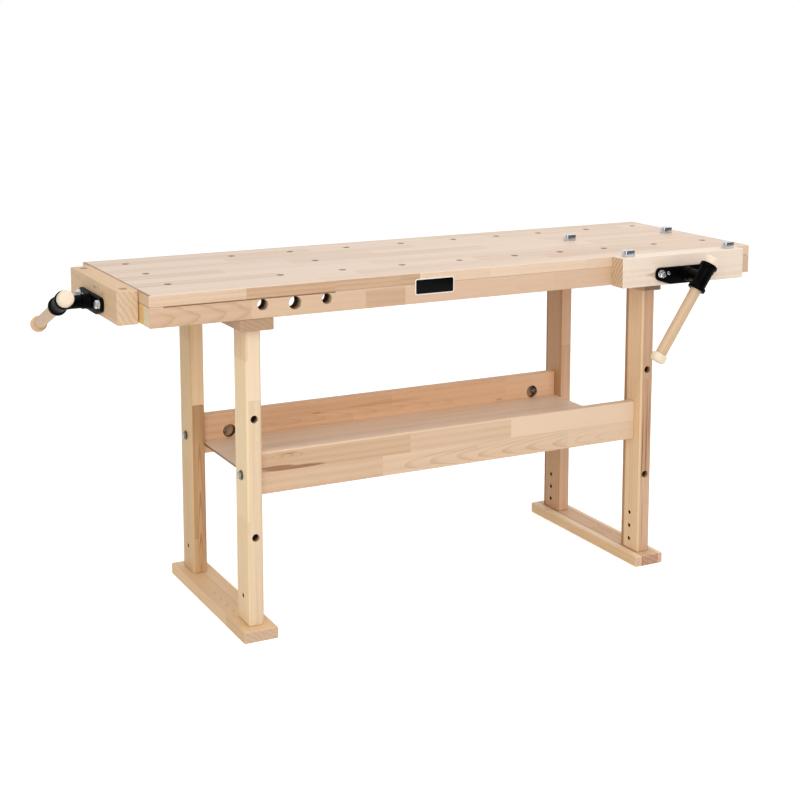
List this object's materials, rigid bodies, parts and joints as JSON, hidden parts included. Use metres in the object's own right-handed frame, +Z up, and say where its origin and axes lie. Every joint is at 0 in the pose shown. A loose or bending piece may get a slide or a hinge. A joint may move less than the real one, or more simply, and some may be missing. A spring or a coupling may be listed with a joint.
{
  "type": "woodworking bench with vises",
  "caption": "Beech joiner's workbench: laminated top with dog holes on trestles with a shelf, an end vise, a front vise and steel bench dogs.",
  "frame": {"origin": "on the floor under the middle of the bounding box, vises shut", "axes": "+X along the bench toward the front vise's end, -Y toward the person at the bench, +Z up"},
  "size_m": [1.8516, 0.6916, 0.8783],
  "materials": {
    "beech_top": "oiled, laminated",
    "beech_frame": "oiled",
    "beech_panel": "plain veneered board",
    "turned_beech": "turned, waxed",
    "cast_iron": "black paint, half gloss",
    "zinc_steel": "zinc plated",
    "bright_steel": "bright drawn"
  },
  "bodies": {
    "frame": {"bench_top": "beech_top", "front_apron": "beech_frame", "rear_apron": "beech_frame", "end_rail": "beech_frame", "front_stretcher": "beech_frame", "rear_stretcher": "beech_frame", "shelf_panel": "beech_panel", "left_foot": "beech_frame", "left_front_leg": "beech_frame", "left_rear_leg": "beech_frame", "left_top_rail": "beech_frame", "left_front_top_screw": "zinc_steel", "left_front_stretcher_bolt": "zinc_steel", "left_front_washer": "zinc_steel", "left_front_stretcher_nut": "zinc_steel", "left_rear_top_screw": "zinc_steel", "left_rear_stretcher_bolt": "zinc_steel", "left_rear_washer": "zinc_steel", "left_rear_stretcher_nut": "zinc_steel", "right_foot": "beech_frame", "right_front_leg": "beech_frame", "right_rear_leg": "beech_frame", "right_top_rail": "beech_frame", "right_front_top_screw": "zinc_steel", "right_front_stretcher_bolt": "zinc_steel", "right_front_washer": "zinc_steel", "right_front_stretcher_nut": "zinc_steel", "right_rear_top_screw": "zinc_steel", "right_rear_stretcher_bolt": "zinc_steel", "right_rear_washer": "zinc_steel", "right_rear_stretcher_nut": "zinc_steel", "end_vise_guide_body": "cast_iron", "face_vise_guide_body": "cast_iron"},
    "end_jaw": {"end_vise_jaw": "beech_frame", "end_vise_flange": "cast_iron", "end_vise_rod_left": "bright_steel", "end_vise_rod_right": "bright_steel", "end_vise_rod_nut_left": "zinc_steel", "end_vise_rod_nut_right": "zinc_steel"},
    "end_screw": {"end_vise_screw": "bright_steel", "end_vise_handle_head": "cast_iron"},
    "end_handle": {"end_vise_handle_bar": "turned_beech", "end_vise_cap_upper": "turned_beech", "end_vise_cap_lower": "turned_beech"},
    "face_jaw": {"face_vise_jaw": "beech_frame", "face_vise_flange": "cast_iron", "face_vise_rod_left": "bright_steel", "face_vise_rod_right": "bright_steel", "face_vise_rod_nut_left": "zinc_steel", "face_vise_rod_nut_right": "zinc_steel"},
    "face_screw": {"face_vise_screw": "bright_steel", "face_vise_handle_head": "cast_iron"},
    "face_handle": {"face_vise_handle_bar": "turned_beech", "face_vise_cap_upper": "turned_beech", "face_vise_cap_lower": "turned_beech"},
    "top_dog_left": {"top_dog_left": "zinc_steel"},
    "top_dog_right": {"top_dog_right": "zinc_steel"},
    "jaw_dog_left": {"jaw_dog_left": "zinc_steel"},
    "jaw_dog_right": {"jaw_dog_right": "zinc_steel"}
  },
  "joints": [
    {"name": "end_jaw_slide", "type": "slide", "parent": "frame", "child": "end_jaw", "axis": [-1, 0, 0], "range_m": [0, 0.12]},
    {"name": "end_screw_turn", "type": "hinge", "parent": "end_jaw", "child": "end_screw", "pos_m": [-0.77425, 0.07575, 0.81], "axis": [-1, 0, 0], "range_deg": [0, 7200]},
    {"name": "end_handle_slide", "type": "slide", "parent": "end_screw", "child": "end_handle", "axis": [0, -0.9272, 0.3746], "range_m": [0, 0.191]},
    {"name": "face_jaw_slide", "type": "slide", "parent": "frame", "child": "face_jaw", "axis": [0, -1, 0], "range_m": [0, 0.12]},
    {"name": "face_screw_turn", "type": "hinge", "parent": "face_jaw", "child": "face_screw", "pos_m": [0.66775, -0.19425, 0.81], "axis": [0, -1, 0], "range_deg": [0, 7200]},
    {"name": "face_handle_slide", "type": "slide", "parent": "face_screw", "child": "face_handle", "axis": [0.5592, 0, 0.829], "range_m": [0, 0.191]},
    {"name": "top_dog_left_lift", "type": "slide", "parent": "frame", "child": "top_dog_left", "axis": [0, 0, 1], "range_m": [0, 0.06]},
    {"name": "top_dog_right_lift", "type": "slide", "parent": "frame", "child": "top_dog_right", "axis": [0, 0, 1], "range_m": [0, 0.06]},
    {"name": "jaw_dog_left_lift", "type": "slide", "parent": "face_jaw", "child": "jaw_dog_left", "axis": [0, 0, 1], "range_m": [0, 0.06]},
    {"name": "jaw_dog_right_lift", "type": "slide", "parent": "face_jaw", "child": "jaw_dog_right", "axis": [0, 0, 1], "range_m": [0, 0.06]}
  ],
  "couplings": [
    {"joint": "end_jaw_slide", "follows": "end_screw_turn", "m_per_rad": 0.00095493},
    {"joint": "face_jaw_slide", "follows": "face_screw_turn", "m_per_rad": 0.00095493}
  ]
}
